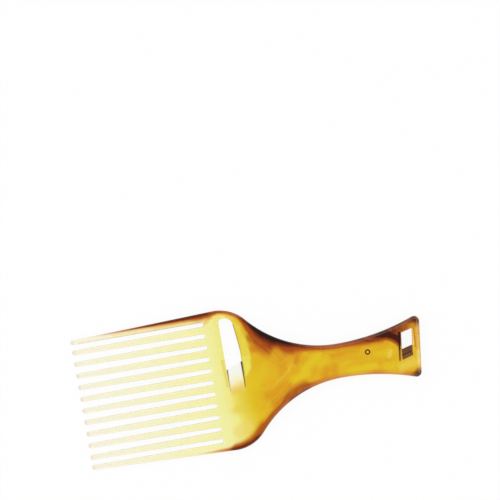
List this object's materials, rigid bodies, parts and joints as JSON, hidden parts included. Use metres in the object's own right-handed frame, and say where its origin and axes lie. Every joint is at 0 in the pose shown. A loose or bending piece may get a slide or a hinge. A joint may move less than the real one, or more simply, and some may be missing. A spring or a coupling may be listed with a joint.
{
  "type": "afro pick",
  "caption": "Wide-toothed hair pick with long tapered teeth, a slotted head, a waisted handle and a hang hole in its flared end, in translucent amber plastic.",
  "frame": {"origin": "on the plane of the flat back, under the middle of the bounding box", "axes": "+Y from the handle to the tooth tips, +Z out of the front face, +X across the teeth to the slot's closed end"},
  "size_m": [0.0872, 0.215, 0.007],
  "materials": {
    "amber_plastic": "translucent gloss, amber with brown swirls",
    "yellow_plastic": "translucent gloss, pale yellow",
    "cream_plastic": "translucent gloss, cream"
  },
  "bodies": {
    "root": {"tooth_01": "cream_plastic", "tooth_02": "cream_plastic", "tooth_03": "cream_plastic", "tooth_04": "cream_plastic", "tooth_05": "cream_plastic", "tooth_06": "cream_plastic", "tooth_07": "cream_plastic", "tooth_08": "cream_plastic", "tooth_09": "cream_plastic", "tooth_10": "cream_plastic", "tooth_11": "cream_plastic", "tooth_12": "cream_plastic", "tooth_bar": "yellow_plastic", "ramp_web": "yellow_plastic", "slot_rail": "yellow_plastic", "palm_web": "amber_plastic", "grip": "amber_plastic", "hang_end": "amber_plastic"}
  },
  "joints": []
}
